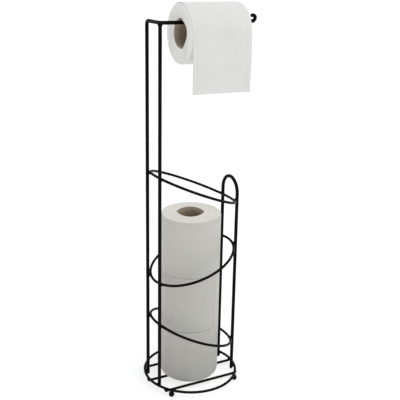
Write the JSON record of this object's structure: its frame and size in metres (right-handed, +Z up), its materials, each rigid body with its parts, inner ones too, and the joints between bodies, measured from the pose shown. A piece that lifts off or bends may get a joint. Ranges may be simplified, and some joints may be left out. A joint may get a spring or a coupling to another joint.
{
  "type": "toilet roll storage holder",
  "caption": "Free-standing black wire toilet roll holder: a tall frame with a hooked arm for the roll in use over a round cage with tilted rings that stores spare rolls.",
  "frame": {"origin": "on the floor under the feet, midway between the leftmost point (base ring) and the rightmost point (raised end of the arm) and on the middle plane of the cage", "axes": "+Z up; +X from the tall uprights towards the guard arch, along the arm; +Y to the rear, away from the side where the loose paper hangs"},
  "size_m": [0.1848, 0.1708, 0.6685],
  "materials": {
    "wire_black": "satin",
    "tissue": "matte",
    "core_board": "matte"
  },
  "bodies": {
    "stand": {"arm_wire": "wire_black", "front_upright": "wire_black", "guard_arch": "wire_black", "upper_ring": "wire_black", "middle_ring": "wire_black", "lower_ring": "wire_black", "base_ring": "wire_black", "base_bar_front": "wire_black", "base_bar_middle": "wire_black", "base_bar_rear": "wire_black", "foot_front_left": "wire_black", "foot_front_right": "wire_black", "foot_rear_left": "wire_black", "foot_rear_right": "wire_black", "upper_ring_welds": "wire_black", "middle_ring_welds": "wire_black", "lower_ring_welds": "wire_black", "base_ring_welds": "wire_black", "base_bar_welds": "wire_black", "foot_welds": "wire_black", "arm_joint_weld": "wire_black"},
    "loose_paper": {"loose_sheet": "tissue"},
    "roll_in_use": {"hung_core": "core_board", "hung_tissue": "tissue"},
    "stored_roll_bottom": {"stored_bottom_core": "core_board", "stored_bottom_tissue": "tissue"},
    "stored_roll_middle": {"stored_middle_core": "core_board", "stored_middle_tissue": "tissue"},
    "stored_roll_top": {"stored_top_core": "core_board", "stored_top_tissue": "tissue"}
  },
  "joints": [
    {"name": "roll_slide", "type": "slide", "parent": "stand", "child": "loose_paper", "axis": [1, 0, 0], "range_m": [-0.026, 0.024]},
    {"name": "roll_spin", "type": "hinge", "parent": "loose_paper", "child": "roll_in_use", "pos_m": [0.00378, -0.025, 0.6203], "axis": [1, 0, 0], "continuous": true},
    {"name": "bottom_roll_lift", "type": "slide", "parent": "stand", "child": "stored_roll_bottom", "axis": [0, 0, 1], "range_m": [0, 0.04]},
    {"name": "middle_roll_lift", "type": "slide", "parent": "stored_roll_bottom", "child": "stored_roll_middle", "axis": [0, 0, 1], "range_m": [0, 0.04]},
    {"name": "top_roll_lift", "type": "slide", "parent": "stored_roll_middle", "child": "stored_roll_top", "axis": [0, 0, 1], "range_m": [0, 0.165]}
  ]
}
